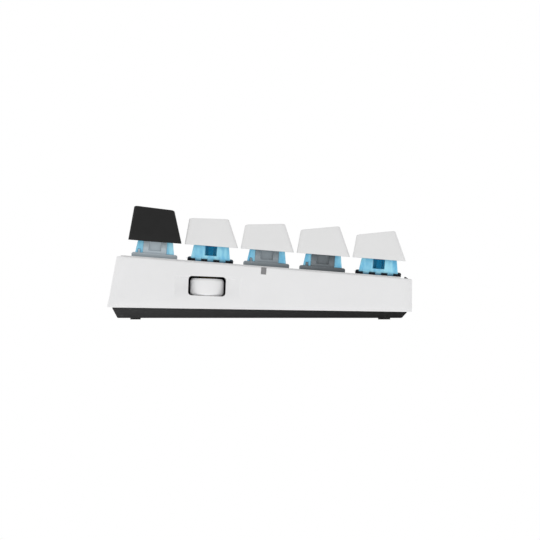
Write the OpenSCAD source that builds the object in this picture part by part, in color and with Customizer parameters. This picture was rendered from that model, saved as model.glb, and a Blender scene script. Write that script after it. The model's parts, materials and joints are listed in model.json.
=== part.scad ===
// Numeric keypad: a sloped case that holds twenty sprung keys and a thumb wheel in its left side.
// Millimetres. X runs to the right, Y to the back and Z up. The feet stand on Z = 0.
// The deck frame is tilted down to the front. Its XY plane is the top face of the switch plate.

/* [Keys] */
// Distance between the centres of neighbouring keys
key_pitch = 19.05; // [19.05:0.05:19.2]
// How far a key goes down
key_travel = 3.8; // [2:0.1:3.8]
// Side of a keycap at its open base
cap_base = 18.2; // [18:0.1:18.4]
// Width of a keycap's top face
cap_top_w = 12.4; // [12:0.1:13]
// Thickness of a keycap's skirt
cap_wall = 1.2; // [1:0.1:1.2]
// Thickness of a keycap under its finger dish
cap_roof = 1.5; // [1.4:0.1:1.8]

/* [Deck] */
// Slope of the deck, down to the front
deck_tilt = 4.47; // [4.2:0.01:4.6]
// Height of the deck's top face over the origin
deck_z = 18.2; // [18.2:0.05:18.45]
// Width of the switch plate
plate_w = 78.6; // [78:0.1:78.8]
// Thickness of the switch plate
plate_t = 1.5; // [1.2:0.1:1.5]
// Thickness of the circuit board
board_t = 1.2; // [1:0.1:1.2]

/* [Case] */
// Width of the case
case_w = 83; // [83:0.1:84]
// Y of the case's front face
case_front = -51.75; // [-52.5:0.05:-51.75]
// Y of the case's back face at its lower edge
case_back = 51.8; // [51.7:0.1:52.4]
// Lean of the back face to the front
back_lean = 10.6; // [10:0.1:10.8]
// Thickness of the case walls
wall = 2; // [1.9:0.1:2]
// Radius of the case's upright corners
corner_r = 3; // [2.8:0.1:3.5]
// Height of the feet that shows under the base
foot_h = 0.5; // [0.5:0.1:0.8]

/* [Thumb wheel] */
// Radius of the wheel
wheel_r = 5.8; // [5.5:0.1:5.9]
// Thickness of the wheel
wheel_t = 5.8; // [5:0.1:5.8]
// How far the wheel stands out of the case's side
wheel_proud = 0.6; // [0.4:0.1:0.8]
// Lean of the wheel's axis to the front
wheel_tilt = 2.3; // [1.5:0.1:2.5]
// Depth of the thumb scoop in the case's side
scoop_depth = 1.7; // [1.5:0.1:1.7]
// Length of the thumb scoop along the case's side
scoop_l = 21.9; // [20:0.1:22]

/* [Hidden] */
$fn = 64;
EPS = 0.01;
COLUMNS = 4;

// Names of the keys, from the back row to the front row and from left to right
KEY_NAMES = [
    ["num_lock", "divide", "multiply", "subtract"],
    ["7", "8", "9", "backspace"],
    ["4", "5", "6", "add"],
    ["1", "2", "3", "equals"],
    ["0", "00", "decimal", "enter"],
];
ROWS = len(KEY_NAMES);

// Each row's cap, from the key's centre: height and Y of the top face's back edge, height and Y of its
// front edge, and how far the base lies to the back
ROW_TOPS = [
    [11.9, 8.1, 11.25, -5.6, 0.2],
    [9.0, 8.2, 9.6, -5.25, 0],
    [8.25, 8.2, 9.55, -5.3, 0],
    [8.0, 8.3, 10.2, -4.8, 0],
    [7.8, 8.3, 10.1, -4.7, 0],
];
// The rows whose switches face their lamp side to the right
TURNED_ROWS = [1, 4];

// Deck frame
rows_shift = -2.2;
rim_h = -0.4;
roof_t = 2.2;
housing_bottom = -3.6;
board_bottom = housing_bottom - board_t;
plate_y = [-48, 47.35];
board_y = [-47.6, 43.6];
board_w = 74;
ledge_y = [-48.15, 45.3];
ledge_w = 74.6;
slot_gap = 0.15;

// Switch, measured from its centre on the plate's top face
switch_hole = 14;
housing_w = 13.9;
flange_w = 15.6;
flange_h = 0.85;
bracket_h = 1.4;
bracket_x = [-7.8, -5.4];
riser_x = [-7.2, -5.1];
riser_w = 8;
riser_lean = [3.3, 0.7];
bracket_round = 0.7;
lamp_window = [4.2, 2.3, 1];
pin_at = [-6.6, 5.3];
pin_h = 1.35;
pin_r = 0.4;
cover_top = 6.2;
cover_open = [7.5, 6.2];
cover_foot = 6.7;
cover_shoulder = [6.0, 5.3];
cover_crown = 5.2;
cover_wall = 0.8;
tab_w = 2;
tab_pitch = 4.15;
stem_w = [7, 4];
stem_bottom = 2.1;
stem_top = 6.5;
cross_h = 3.5;
cross_arm = [4, 1.2];
spring_floor = -2.8;
spring_top = 5;
spring_r = [1.25, 1.6];
peg_r = 1.2;
post_r = 2.75;
fit_gap = 0.05;
press_gap = 0.2;
cap_lift = bracket_h + press_gap + key_travel;
cap_slope_h = 9.5;
dish_r = 26;
dish_depth = 0.75;

// Case
joint_mid = 3.325;
joint_slope = 0.015;
lip_h = 1.2;
lip_gap = 0.4;
base_inset = 1.6;
base_bevel = 1.9;
base_floor = 1.8;
floor_z = foot_h + base_floor;
screw_x = 19.05;
screw_y = 44;
screw_seat = 4.3;
screw_post_r = 2.2;
screw_r = 1;
screw_head_r = 1.9;
screw_low = 1.1;
screw_head_h = 1.3;
screw_l = 7;
socket_r = 0.9;
socket_h = 0.7;
rib_t = 1.6;
rib_l = 8;
side_bevel = 1.8;
foot_x = 30;
foot_w = 12;
foot_sink = 0.8;
foot_r = 1;
// Middle Y and length of the back and front feet
foot_rows = [[42.15, 3.5], [-42.25, 4.1]];

// Thumb wheel, in the wheel's own frame
wheel_centre = [-case_w / 2 - wheel_proud + wheel_r, 17.9, 11];
face_x = -wheel_r + wheel_proud;
opening = [12.7, 6.6];
opening_rise = 0.3;
opening_r = 1.2;
scoop_half = 3.1;
pad_x = [face_x + 1.8, face_x + 4.1];
wheel_chamfer = 0.7;
hub_r = 2.3;
web_r = 4.4;
web_half = 1.4;
axle_r = 1;
axle_z = [-5, 2.7];
axle_flange_r = 1.6;
encoder_x = [-2.8, 5.2];
encoder_w = 8;
encoder_z = [-5.4, -3.5];
wheel_board_z = [-6.4, -5.4];
wheel_board_x = [-1.2, 14];
wheel_board_w = 18;
ribbon_x = 12.5;
bracket_post_x = [1, 11];
bracket_post_y = 7;
bracket_post_h = 3;
bracket_post_r = 1.8;

// Fittings
window = [1.8, 2.4];
window_y = -1.5;
trim_y = [-50.7, -49.2];
trim_w = 72;
usb = [8.94, 3.2];
usb_y = [41, 48.8];
usb_wall = 0.3;

// Height of the line where the case meets the base
function joint_z(y) = joint_mid + y * joint_slope;
// Y of the back face at height z, moved in by inset
function back_y(z, inset) =
    case_back - (z - joint_z(case_back)) * tan(back_lean) - inset / cos(back_lean);
function key_x(column) = (column - (COLUMNS - 1) / 2) * key_pitch;
function key_y(row) = ((ROWS - 1) / 2 - row) * key_pitch + rows_shift;
function is_turned(row) = len(search(row, TURNED_ROWS)) > 0;

module on_deck() {
    translate([0, 0, deck_z]) rotate([deck_tilt, 0, 0]) children();
}

module at_key(row, column) {
    on_deck() translate([key_x(column), key_y(row), 0]) children();
}

// The children at every key, turned with the switches
module at_switches() {
    for (row = [0:ROWS - 1])
        for (column = [0:COLUMNS - 1])
            at_key(row, column) rotate(is_turned(row) ? 180 : 0) children();
}

module on_wheel() {
    translate(wheel_centre) rotate([wheel_tilt, 0, 0]) children();
}

module at_screws() {
    for (x = [-1, 1])
        for (y = [-1, 1])
            translate([x * screw_x, y * screw_y, 0]) children();
}

// A box given by its limits along X, Y and Z
module box(x, y, z) {
    translate([x[0], y[0], z[0]]) cube([x[1] - x[0], y[1] - y[0], z[1] - z[0]]);
}

// A YZ outline made w thick along X
module along_x(w) {
    rotate([90, 0, 90]) linear_extrude(w, center = true) children();
}

// An XZ outline made w thick along Y
module along_y(w) {
    rotate([90, 0, 0]) linear_extrude(w, center = true) children();
}

module rounded_square(size, r) {
    square([size.x - 2 * r, size.y], center = true);
    square([size.x, size.y - 2 * r], center = true);
    for (x = [-1, 1])
        for (y = [-1, 1])
            translate([x * (size.x / 2 - r), y * (size.y / 2 - r)]) circle(r);
}

// A long plate outline whose two corners at Y = 0 are rounded
module rounded_end(w, r) {
    reach = 2 * case_back;
    translate([-w / 2, r]) square([w, reach]);
    translate([-w / 2 + r, 0]) square([w - 2 * r, reach]);
    for (x = [-1, 1])
        translate([x * (w / 2 - r), r]) circle(r);
}

// The case's outer form moved in by inset, from drop under the joint up to deck height h
module case_form(inset, drop, h) {
    w = case_w - 2 * inset;
    r = corner_r - inset;
    high = 2 * deck_z;
    difference() {
        intersection() {
            along_x(case_w + 2)
                polygon([
                    [case_front - 1, joint_z(case_front - 1) - drop],
                    [case_back + 1, joint_z(case_back + 1) - drop],
                    [case_back + 1, high],
                    [case_front - 1, high],
                ]);
            translate([0, case_front + inset, -1]) linear_extrude(high) rounded_end(w, r);
            translate([0, back_y(0, inset), 0])
                rotate([back_lean, 0, 0])
                    translate([0, 0, -10])
                        linear_extrude(high + 20) mirror([0, 1]) rounded_end(w, r);
        }
        on_deck() box([-case_w, case_w], [-case_w, case_w], [h, high]);
    }
}

// The scoop around the wheel: a shallow round trough with a steep floor ledge and a narrow top ledge
module wheel_scoop() {
    trough_r = (pow(scoop_l / 2, 2) + pow(scoop_depth, 2)) / (2 * scoop_depth);
    inner_x = face_x + scoop_depth;
    intersection() {
        translate([inner_x - trough_r, 0, 0]) cylinder(h = 10, r = trough_r, center = true, $fn = 128);
        along_y(scoop_l + 4)
            polygon([
                [face_x - 1, -scoop_half],
                [face_x, -scoop_half],
                [inner_x, -scoop_half + 2.4 * scoop_depth],
                [inner_x, scoop_half - 0.7 * scoop_depth],
                [face_x, scoop_half],
                [face_x - 1, scoop_half],
            ]);
    }
}

// Everything that the wheel and its encoder need cut out of the case's side
module wheel_cuts() {
    translate([0, 0, opening_rise]) {
        wheel_scoop();
        translate([face_x + 2, 0, 0]) along_x(8) rounded_square(opening, opening_r);
    }
    half = encoder_w / 2 + 0.4;
    box([face_x + wall + 0.15, face_x + 10], [-half, half], [-8, encoder_z[1] + 0.1]);
}

module top_case() {
    cavity_h = rim_h - roof_t;
    color("white") difference() {
        union() {
            difference() {
                case_form(0, 0, rim_h);
                case_form(wall, 1, cavity_h);
            }
            // thicker wall behind the scoop
            on_wheel() box(pad_x, [-12.5, 12.5], [-5, 4.6]);
            // screw posts, each with a rib to its end wall
            intersection() {
                case_form(wall / 2, 0, cavity_h + EPS);
                union() {
                    at_screws() translate([0, 0, screw_seat]) cylinder(h = 20, r = screw_post_r);
                    for (x = [-screw_x, screw_x])
                        for (y = [-1, 1])
                            translate([x, y * (screw_y + rib_l / 2), 15])
                                cube([rib_t, rib_l, 16], center = true);
                }
            }
        }
        // recess of the switch plate, and the opening inside its ledge
        on_deck() {
            box(
                [-plate_w / 2 - slot_gap, plate_w / 2 + slot_gap],
                [plate_y[0] - slot_gap, plate_y[1] + slot_gap],
                [-plate_t, 5]
            );
            box([-ledge_w / 2, ledge_w / 2], ledge_y, [cavity_h, 5]);
            box([-case_w / 2 - 1, -39], [window_y - window.x / 2, window_y + window.x / 2],
                [rim_h - window.y, 5]);
            box([-trim_w / 2, trim_w / 2], trim_y, [-1.5, 5]);
            translate([0, 50, board_bottom - usb.y / 2])
                along_y(12) rounded_square([usb.x + 0.6, usb.y + 0.6], 1.85);
        }
        on_wheel() wheel_cuts();
        at_screws() cylinder(h = 10, r = screw_r);
    }
}

module base_outline(inset) {
    front = case_front + base_inset + inset;
    back = case_back - base_inset - inset;
    low = foot_h + (inset > 0 ? base_floor : 0);
    top = inset > 0 ? 1 : 0;
    polygon([
        [front, joint_z(front) + top],
        [front + base_bevel, low],
        [back - base_bevel, low],
        [back, joint_z(back) + top],
    ]);
}

module base_lip() {
    front = case_front + wall + lip_gap;
    back = back_y(joint_z(case_back) + lip_h, wall) - lip_gap - 0.1;
    half = case_w / 2 - wall - lip_gap;
    difference() {
        along_x(2 * half)
            polygon([
                [front, foot_h + 2],
                [back, foot_h + 2],
                [back, joint_z(back) + lip_h],
                [front, joint_z(front) + lip_h],
            ]);
        box([-half + 1.2, half - 1.2], [front + 1.2, back - 1.2], [0, 20]);
    }
}

module base_pan() {
    side_top = case_w / 2 - base_inset;
    side_low = side_top - side_bevel;
    color([0.07, 0.07, 0.08]) difference() {
        union() {
            difference() {
                union() {
                    intersection() {
                        along_x(case_w) base_outline(0);
                        along_y(3 * case_back)
                            polygon([
                                [-side_low, 0],
                                [side_low, 0],
                                [side_top, joint_mid - 0.4],
                                [side_top, 10],
                                [-side_top, 10],
                                [-side_top, joint_mid - 0.4],
                            ]);
                    }
                    intersection() {
                        base_lip();
                        box([-side_top + 0.2, side_top - 0.2], [-60, 60], [foot_h + 1.5, 10]);
                    }
                }
                along_x(2 * side_low - 2) base_outline(1.8);
            }
            at_screws() translate([0, 0, floor_z - 0.5]) cylinder(h = screw_seat - floor_z + 0.5, r = 3.2);
            on_wheel()
                for (x = bracket_post_x)
                    for (y = [-bracket_post_y, bracket_post_y])
                        translate([x, y, wheel_board_z[0] - bracket_post_h])
                            cylinder(h = bracket_post_h, r = bracket_post_r);
        }
        at_screws() {
            cylinder(h = screw_low + screw_head_h, r = screw_head_r + 0.2);
            cylinder(h = 10, r = screw_r + 0.2);
            translate([0, 0, screw_seat]) cylinder(h = 5, r = screw_post_r + 0.3);
        }
        foot_shapes(0, 0.05);
    }
}

// The four feet from Z = low up to their seats in the base, grown by gap
module foot_shapes(low, gap) {
    for (x = [-foot_x, foot_x])
        for (foot = foot_rows)
            translate([x, foot[0], low])
                linear_extrude(foot_h + foot_sink - low)
                    rounded_square([foot_w + 2 * gap, foot[1] + 2 * gap], foot_r);
}

module foot_pads() {
    color([0.1, 0.1, 0.1]) foot_shapes(0, 0);
}

module case_screws() {
    color("silver") at_screws() {
        difference() {
            translate([0, 0, screw_low]) cylinder(h = screw_head_h, r = screw_head_r);
            // hexagonal socket
            translate([0, 0, screw_low - EPS]) cylinder(h = socket_h, r = socket_r, $fn = 6);
        }
        translate([0, 0, screw_low + screw_head_h]) cylinder(h = screw_l, r = screw_r);
    }
}

module switch_plate() {
    color("white") on_deck() translate([0, 0, -plate_t]) linear_extrude(plate_t) difference() {
        translate([0, (plate_y[0] + plate_y[1]) / 2])
            rounded_square([plate_w, plate_y[1] - plate_y[0]], 0.8);
        for (row = [0:ROWS - 1])
            for (column = [0:COLUMNS - 1])
                translate([key_x(column), key_y(row)]) square(switch_hole, center = true);
    }
}

module circuit_board() {
    color("darkgreen") difference() {
        on_deck() box([-board_w / 2, board_w / 2], board_y, [board_bottom, housing_bottom]);
        at_screws() cylinder(h = 30, r = screw_post_r + 0.4);
        for (x = [-screw_x, screw_x])
            for (y = [-1, 1])
                translate([x, y * (screw_y + rib_l / 2), 15])
                    cube([2 * screw_post_r + 0.8, rib_l, 30], center = true);
    }
}

module switch_lower_housings() {
    half = flange_w / 2;
    color([0.05, 0.05, 0.07]) at_switches() difference() {
        union() {
            difference() {
                union() {
                    translate([0, 0, housing_bottom])
                        linear_extrude(-housing_bottom) square(housing_w, center = true);
                    linear_extrude(flange_h) rounded_square([flange_w, flange_w], 1);
                }
                box([-4.7, 4.7], [-3.3, 3.3], [spring_floor, 2]);
            }
            translate([0, 0, spring_floor]) cylinder(h = 2, r = peg_r);
        }
        box([-half - 1, bracket_x[1] + fit_gap], [-half - 1, half + 1], [0, 2]);
        for (y = [-1, 0, 1])
            box(
                [half - 0.6, half + 1],
                [y * tab_pitch - tab_w / 2 - fit_gap, y * tab_pitch + tab_w / 2 + fit_gap],
                [0, 2]
            );
        // pocket over the lamp
        box([-6.4, -4.9], [-1.6, 1.6], [housing_bottom - 1, housing_bottom + 0.8]);
    }
}

// The bracket's foot from the side, with its two upper corners rounded
module bracket_outline() {
    low = bracket_h - bracket_round;
    translate([-flange_w / 2, 0]) square([flange_w, low]);
    translate([-flange_w / 2 + bracket_round, 0]) square([flange_w - 2 * bracket_round, bracket_h]);
    for (y = [-1, 1])
        translate([y * (flange_w / 2 - bracket_round), low]) circle(bracket_round);
}

// The grey side piece that carries the lamp's window
module switch_lamp_brackets() {
    color([0.62, 0.64, 0.67]) at_switches() difference() {
        union() {
            translate([(bracket_x[0] + bracket_x[1]) / 2, 0, 0])
                along_x(bracket_x[1] - bracket_x[0]) bracket_outline();
            along_y(riser_w)
                polygon([
                    [riser_x[0], bracket_h - 0.2],
                    [riser_x[1], bracket_h - 0.2],
                    [riser_x[1], cover_shoulder.y + 0.1],
                    [riser_x[0] + riser_lean.y, cover_shoulder.y + 0.1],
                    [riser_x[0], riser_lean.x],
                ]);
            translate([pin_at.x, pin_at.y, bracket_h - 0.2]) cylinder(h = pin_h, r = pin_r);
        }
        translate([0, 0, lamp_window[1]])
            box([-8, riser_x[0] + lamp_window[2]], [-lamp_window[0] / 2, lamp_window[0] / 2], [0, 5]);
    }
}

module cover_outline(inset, low, top) {
    polygon([
        [-cover_foot + inset, low],
        [cover_foot - inset, low],
        [cover_shoulder.x - inset, cover_shoulder.y - inset / 3],
        [cover_crown - inset, top],
        [-cover_crown + inset, top],
        [-cover_shoulder.x + inset, cover_shoulder.y - inset / 3],
    ]);
}

module cover_block(inset, low, top) {
    intersection() {
        along_x(20) cover_outline(inset, low, top);
        along_y(20) cover_outline(inset, low, top);
    }
}

// The clear upper housing, with three tabs over the flange
module switch_covers() {
    half = flange_w / 2;
    color([0.45, 0.75, 0.9, 0.5]) at_switches() {
        difference() {
            cover_block(0, flange_h, cover_top);
            cover_block(cover_wall, flange_h - EPS, cover_top - cover_wall);
            box([-cover_open.x / 2, cover_open.x / 2], [-cover_open.y / 2, cover_open.y / 2], [0, 10]);
            box([-10, riser_x[1] + fit_gap], [-riser_w / 2 - fit_gap, riser_w / 2 + fit_gap],
                [0, cover_shoulder.y + 0.15]);
            box([-10, bracket_x[1] + fit_gap], [-10, 10], [0, bracket_h + fit_gap]);
            translate([pin_at.x, pin_at.y, 0]) cylinder(h = bracket_h + pin_h - 0.05, r = pin_r + 0.15);
        }
        for (y = [-1, 0, 1]) {
            box([cover_foot - 0.5, half], [y * tab_pitch - tab_w / 2, y * tab_pitch + tab_w / 2],
                [flange_h, flange_h + 0.4]);
            box([half - 0.5, half], [y * tab_pitch - tab_w / 2, y * tab_pitch + tab_w / 2],
                [0.02, flange_h + 0.4]);
        }
    }
}

// Each coil spring as the thin sleeve that its turns fill
module key_springs() {
    color("silver") at_switches() translate([0, 0, spring_floor]) difference() {
        cylinder(h = spring_top - spring_floor, r = spring_r[1]);
        translate([0, 0, -1]) cylinder(h = 12, r = spring_r[0]);
    }
}

module stem() {
    color([0.03, 0.25, 0.5]) difference() {
        union() {
            box([-stem_w.x / 2, stem_w.x / 2], [-stem_w.y / 2, stem_w.y / 2], [stem_bottom, 6]);
            box([-4.3, 4.3], [-0.9, 0.9], [stem_bottom, 5.3]);
            box([-stem_w.x / 2, stem_w.x / 2], [-2.75, 2.75], [5.6, stem_top]);
            for (turn = [0, 90])
                rotate(turn)
                    box([-cross_arm.x / 2, cross_arm.x / 2], [-cross_arm.y / 2, cross_arm.y / 2],
                        [stem_top, stem_top + cross_h]);
        }
        translate([0, 0, stem_bottom - 1])
            cylinder(h = spring_top - stem_bottom + 1, r = spring_r[1] + 0.1);
    }
}

// Side outline of a cap, moved in by inset. Its roof is lowered by drop, and its base is open downwards.
module cap_side(top, inset, drop) {
    half = cap_base / 2;
    back = half + top[4];
    front = -half + top[4];
    back_slope = (top[1] - back) / top[0];
    front_slope = (top[3] - front) / top[2];
    polygon([
        [front + inset - front_slope * drop, -drop],
        [back - inset - back_slope * drop, -drop],
        [top[1] - inset - back_slope * drop, top[0] - drop],
        [top[3] + inset - front_slope * drop, top[2] - drop],
    ]);
}

module cap_front(inset) {
    base = cap_base / 2 - inset;
    slope = (cap_base - cap_top_w) / 2 / cap_slope_h;
    polygon([
        [-base - 3 * slope, -3],
        [base + 3 * slope, -3],
        [base - 13 * slope, 13],
        [-base + 13 * slope, 13],
    ]);
}

module cap_solid(top, inset, drop) {
    intersection() {
        along_x(30) cap_side(top, inset, drop);
        along_y(30) cap_front(inset);
    }
}

// The finger dish: a round trough that follows the top's slope
module cap_dish(top) {
    slope = atan2(top[0] - top[2], top[1] - top[3]);
    translate([0, (top[1] + top[3]) / 2, (top[0] + top[2]) / 2])
        rotate([90 + slope, 0, 0])
            translate([0, dish_r - dish_depth, 0])
                cylinder(h = 30, r = dish_r, center = true, $fn = 128);
}

module keycap(row) {
    top = ROW_TOPS[row];
    post_low = stem_top - cap_lift;
    color(row == 0 ? [0.1, 0.1, 0.1] : [0.95, 0.95, 0.95]) translate([0, 0, cap_lift]) difference() {
        cap_solid(top, 0, 0);
        cap_dish(top);
        difference() {
            cap_solid(top, cap_wall, cap_roof + dish_depth);
            translate([0, 0, post_low]) cylinder(h = 20, r = post_r);
        }
        for (turn = [0, 90])
            rotate(turn)
                box(
                    [-cross_arm.x / 2 - fit_gap, cross_arm.x / 2 + fit_gap],
                    [-cross_arm.y / 2 - fit_gap, cross_arm.y / 2 + fit_gap],
                    [post_low - 1, post_low + cross_h + 0.2]
                );
    }
}

module thumb_wheel() {
    half = wheel_t / 2;
    color("white") on_wheel() rotate_extrude($fn = 96)
        polygon([
            [axle_r, -half],
            [hub_r, -half],
            [hub_r, -web_half],
            [web_r, -web_half],
            [web_r, -half],
            [wheel_r - wheel_chamfer, -half],
            [wheel_r, -half + wheel_chamfer],
            [wheel_r, half - wheel_chamfer],
            [wheel_r - wheel_chamfer, half],
            [web_r, half],
            [web_r, web_half],
            [hub_r, web_half],
            [hub_r, half],
            [axle_r, half],
        ]);
}

module wheel_axle() {
    color("silver") on_wheel() {
        translate([0, 0, axle_z[0]]) cylinder(h = axle_z[1] - axle_z[0], r = axle_r);
        translate([0, 0, axle_z[0]]) cylinder(h = 0.7, r = axle_flange_r);
    }
}

module wheel_encoder() {
    half = encoder_w / 2;
    color([0.2, 0.2, 0.22]) on_wheel() difference() {
        box(encoder_x, [-half, half], encoder_z);
        translate([0, 0, axle_z[0] - 0.1]) cylinder(h = 0.9, r = axle_flange_r + 0.1);
        translate([0, 0, axle_z[0]]) cylinder(h = 5, r = axle_r + fit_gap);
    }
}

module wheel_board() {
    color("darkgreen") on_wheel()
        box(wheel_board_x, [-wheel_board_w / 2, wheel_board_w / 2], wheel_board_z);
}

// The flat cable between the two boards, with its connector
module wheel_ribbon() {
    color([0.85, 0.75, 0.5]) difference() {
        on_wheel() {
            box([ribbon_x - 1, ribbon_x + 1], [-3.6, 3.6], [wheel_board_z[1], wheel_board_z[1] + 1.2]);
            box([ribbon_x - 0.15, ribbon_x + 0.15], [-3, 3], [wheel_board_z[1] + 1, 6]);
        }
        on_deck() box([-50, 50], [-50, 50], [board_bottom, 10]);
    }
}

module usb_port() {
    mid = (usb_y[0] + usb_y[1]) / 2;
    length = usb_y[1] - usb_y[0];
    inner = [usb.x - 2 * usb_wall, usb.y - 2 * usb_wall];
    color("silver") on_deck() translate([0, 0, board_bottom - usb.y / 2]) {
        difference() {
            translate([0, mid, 0]) along_y(length) rounded_square(usb, usb.y / 2 - 0.01);
            translate([0, mid + 1.5, 0]) along_y(length) rounded_square(inner, inner.y / 2 - 0.01);
        }
        box([-3.35, 3.35], [usb_y[0] + 1, usb_y[1] - 1], [-0.35, 0.35]);
    }
}

module status_window() {
    color("gray") on_deck()
        box(
            [-case_w / 2, -39.6],
            [window_y - window.x / 2 + 0.02, window_y + window.x / 2 - 0.02],
            [rim_h - window.y + 0.02, rim_h]
        );
}

// The dark strip in front of the switch plate, with a sloped front
module front_trim() {
    color([0.15, 0.15, 0.16]) on_deck() along_x(trim_w - 0.1)
        polygon([
            [trim_y[0] + 0.05, -1.45],
            [trim_y[1] - 0.05, -1.45],
            [trim_y[1] - 0.05, 0.1],
            [trim_y[1] - 0.6, 0.1],
            [trim_y[0] + 0.05, rim_h],
        ]);
}

module key_leds() {
    color("lightyellow") at_switches()
        box([-6.2, -5.1], [-1.4, 1.4], [housing_bottom, housing_bottom + 0.7]);
}

module board_chips() {
    color([0.1, 0.1, 0.1]) on_deck() {
        box([6, 13], [-6, 1], [board_bottom - 0.9, board_bottom]);
        box([18, 23], [4, 9], [board_bottom - 0.8, board_bottom]);
        box([9, 12.2], [6, 8.5], [board_bottom - 0.7, board_bottom]);
        for (x = [0:4])
            box([5 + 3 * x, 6.6 + 3 * x], [-12, -11.2], [board_bottom - 0.5, board_bottom]);
    }
}

top_case();
base_pan();
switch_plate();
circuit_board();
switch_lower_housings();
switch_lamp_brackets();
switch_covers();
key_springs();
thumb_wheel();
wheel_axle();
wheel_encoder();
wheel_board();
wheel_ribbon();
usb_port();
foot_pads();
case_screws();
status_window();
front_trim();
key_leds();
board_chips();
for (row = [0:ROWS - 1])
    for (column = [0:COLUMNS - 1])
        at_key(row, column) keycap(row);
for (row = [0:ROWS - 1])
    for (column = [0:COLUMNS - 1])
        at_key(row, column) stem();
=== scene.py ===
"""Looks of the numeric keypad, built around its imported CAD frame.

Lengths are in metres unless a name ends in _mm.
"""

import json
import math

import bmesh
import bpy
from mathutils import Matrix, Vector


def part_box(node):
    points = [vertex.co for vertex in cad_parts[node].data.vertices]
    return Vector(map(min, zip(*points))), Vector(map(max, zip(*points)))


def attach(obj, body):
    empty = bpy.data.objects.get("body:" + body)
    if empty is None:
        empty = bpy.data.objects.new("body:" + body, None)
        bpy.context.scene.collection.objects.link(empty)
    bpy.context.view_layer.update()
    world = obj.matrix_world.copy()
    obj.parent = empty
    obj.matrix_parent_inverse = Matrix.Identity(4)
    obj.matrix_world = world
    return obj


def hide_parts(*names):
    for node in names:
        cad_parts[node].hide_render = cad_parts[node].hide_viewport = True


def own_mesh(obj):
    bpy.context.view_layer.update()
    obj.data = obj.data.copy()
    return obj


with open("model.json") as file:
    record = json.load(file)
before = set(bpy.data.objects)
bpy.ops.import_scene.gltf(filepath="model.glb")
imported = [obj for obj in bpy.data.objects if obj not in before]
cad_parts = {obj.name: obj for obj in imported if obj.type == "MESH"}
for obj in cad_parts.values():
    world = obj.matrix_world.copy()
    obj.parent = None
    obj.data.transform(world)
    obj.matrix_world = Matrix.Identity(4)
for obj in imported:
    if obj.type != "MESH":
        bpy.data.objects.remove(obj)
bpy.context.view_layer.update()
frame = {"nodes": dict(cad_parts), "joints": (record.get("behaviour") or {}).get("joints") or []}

MM = 0.001
NODES = frame["nodes"]
JOINTS = {joint["name"]: joint for joint in frame["joints"]}

# The keys as they lie on the deck, with the legend that each cap carries
KEY_ROWS = [
    [("num_lock", "Num"), ("divide", "÷"), ("multiply", "×"), ("subtract", "−")],
    [("7", "7"), ("8", "8"), ("9", "9"), ("backspace", "arrow_left")],
    [("4", "4"), ("5", "5"), ("6", "6"), ("add", "+")],
    [("1", "1"), ("2", "2"), ("3", "3"), ("equals", "=")],
    [("0", "0"), ("00", "00"), ("decimal", "."), ("enter", "arrow_enter")],
]
KEYS = [key for row in KEY_ROWS for key, _ in row]


# ---------------------------------------------------------------- places, read from the frame


def deck_frame():
    """The tilted frame of the deck: keys move along its Z, and its XY plane is the switch plate's top."""
    up = -Vector(JOINTS["press_5"]["axis"]).normalized()
    turn = Matrix.Rotation(math.atan2(-up.y, up.z), 4, "X")
    top = max(up.dot(v.co) for v in NODES["switch_plate"].data.vertices)
    return turn @ Matrix.Translation((0, 0, top))


def wheel_frame():
    """The frame of the thumb wheel: its Z is the axle."""
    joint = JOINTS["wheel_spin"]
    axis = Vector(joint["axis"])
    turn = Matrix.Rotation(math.atan2(-axis.y, axis.z), 4, "X")
    return Matrix.Translation(joint["pos_m"]) @ turn


DECK = deck_frame()
DECK_INVERSE = DECK.inverted()
WHEEL = wheel_frame()
WHEEL_INVERSE = WHEEL.inverted()


def local_points(node, inverse=DECK_INVERSE):
    return [inverse @ v.co for v in NODES[node].data.vertices]


def local_box(node, inverse=DECK_INVERSE):
    """Lowest and highest corner of a node in a tilted frame."""
    points = local_points(node, inverse)
    low = Vector([min(p[i] for p in points) for i in range(3)])
    high = Vector([max(p[i] for p in points) for i in range(3)])
    return low, high


def local_centre(node):
    low, high = local_box(node)
    return (low + high) / 2


# ---------------------------------------------------------------- mesh helpers


def new_solid(name, bm):
    """An object made from a bmesh. As it is, it serves as the tool of a boolean."""
    bmesh.ops.recalc_face_normals(bm, faces=bm.faces)
    mesh = bpy.data.meshes.new(name)
    bm.to_mesh(mesh)
    bm.free()
    solid = bpy.data.objects.new(name, mesh)
    bpy.context.scene.collection.objects.link(solid)
    return solid


def smooth(piece, angle):
    """Smooth shading where faces meet at less than an angle in degrees."""
    piece.data.shade_smooth()
    piece.data.set_sharp_from_angle(angle=math.radians(angle))


def new_piece(name, bm, material, smooth_angle=40):
    """A piece that is seen, made from a bmesh."""
    piece = new_solid(name, bm)
    smooth(piece, smooth_angle)
    piece.data.materials.append(material)
    return piece


def add_ring(bm, points):
    return [bm.verts.new(p) for p in points]


def bridge(bm, ring_a, ring_b):
    count = len(ring_a)
    for i in range(count):
        j = (i + 1) % count
        bm.faces.new((ring_a[i], ring_a[j], ring_b[j], ring_b[i]))


def close_ring(bm, ring, centre):
    hub = bm.verts.new(centre)
    count = len(ring)
    for i in range(count):
        bm.faces.new((ring[i], ring[(i + 1) % count], hub))


def loft(bm, rings, closed=False):
    """Joins rings of points into a skin. A closed loft joins the last ring to the first."""
    made = [add_ring(bm, ring) for ring in rings]
    for a, b in zip(made, made[1:]):
        bridge(bm, a, b)
    if closed:
        bridge(bm, made[-1], made[0])
    return made


def close_ends(bm, made):
    """Flat faces over a loft's first and last ring."""
    bm.faces.new(made[0])
    bm.faces.new(list(reversed(made[-1])))


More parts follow.
